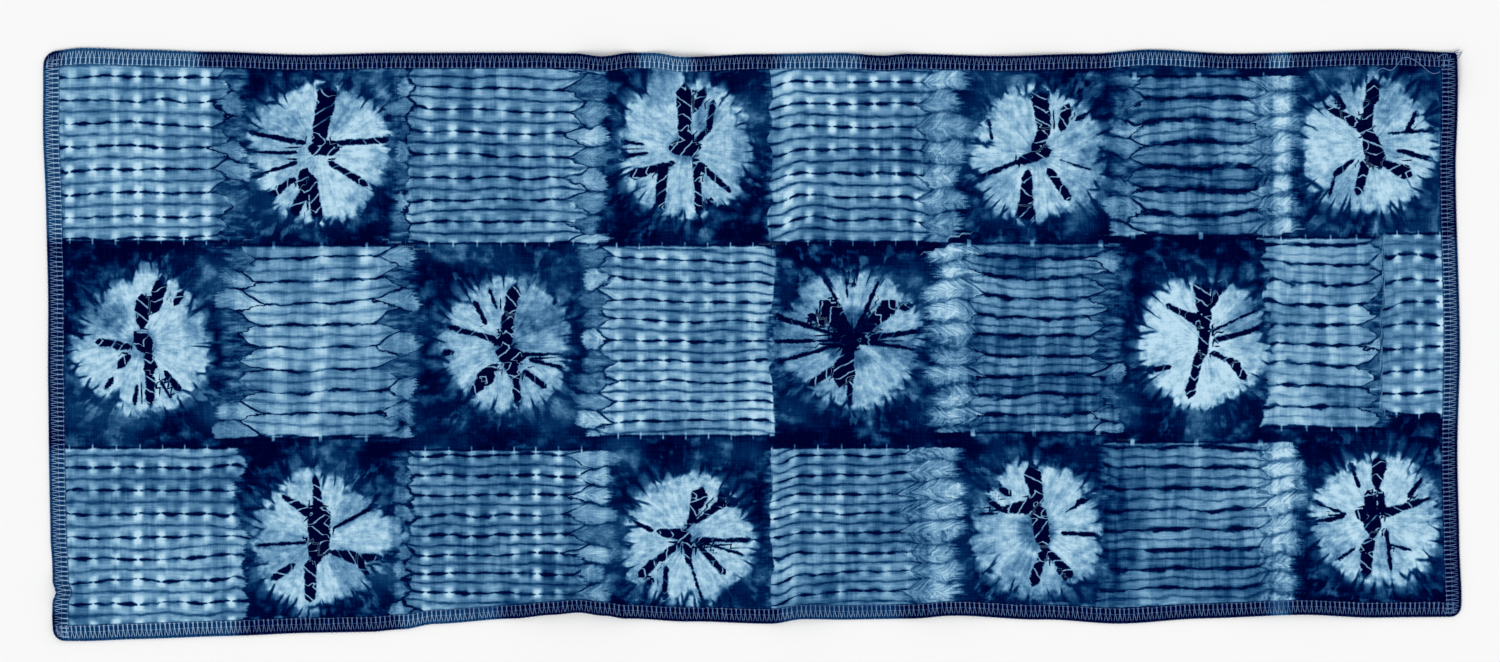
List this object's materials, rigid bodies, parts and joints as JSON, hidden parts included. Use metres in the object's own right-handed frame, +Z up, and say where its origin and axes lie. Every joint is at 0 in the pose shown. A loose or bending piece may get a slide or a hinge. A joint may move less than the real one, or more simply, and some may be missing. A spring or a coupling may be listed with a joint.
{
  "type": "shibori dyed cloth",
  "caption": "Long flat panel of thin cotton with an overlocked edge, tied and stitched before dyeing in indigo, laid flat with a slightly uneven outline.",
  "frame": {"origin": "middle of the bounding box on the surface that the cloth lies on", "axes": "+X along the cloth's length, +Y across it, +Z up through the cloth to its dyed face"},
  "size_m": [0.6524, 0.2728, 0.0056],
  "materials": {
    "dyed_cotton": "matt plain weave, indigo dyed",
    "overlock_thread": "matt spun thread, indigo dyed with the cloth"
  },
  "bodies": {
    "root": {"dyed_cloth": "dyed_cotton"}
  },
  "joints": []
}
